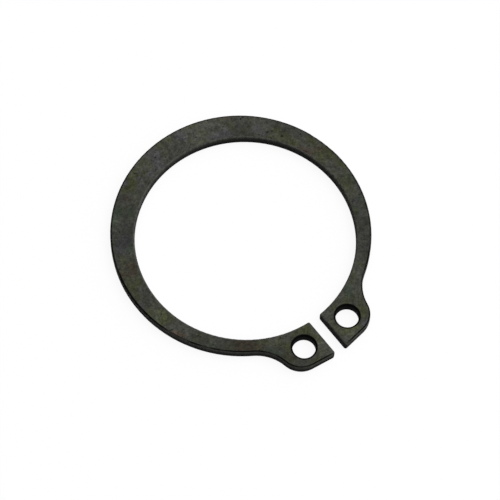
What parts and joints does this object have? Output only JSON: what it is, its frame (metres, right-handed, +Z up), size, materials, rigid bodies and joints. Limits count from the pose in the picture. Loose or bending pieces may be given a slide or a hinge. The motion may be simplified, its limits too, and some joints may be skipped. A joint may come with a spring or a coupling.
{
  "type": "external circlip",
  "caption": "Flat spring-steel retaining ring for a shaft groove, open at a gap, its band widest opposite the gap, with a lug and plier hole on each side of the gap.",
  "frame": {"origin": "on the axis of the bore, at the ring's lower flat face, which it lies on", "axes": "+Z up along the bore's axis, from the lower face to the face with the rolled edges; -Y from the axis to the gap and the lugs; +X across, and the ring is the same on both sides of the YZ plane"},
  "size_m": [0.0274, 0.0305, 0.0012],
  "materials": {
    "phosphated_spring_steel": "satin"
  },
  "bodies": {
    "root": {"circlip": "phosphated_spring_steel"}
  },
  "joints": []
}
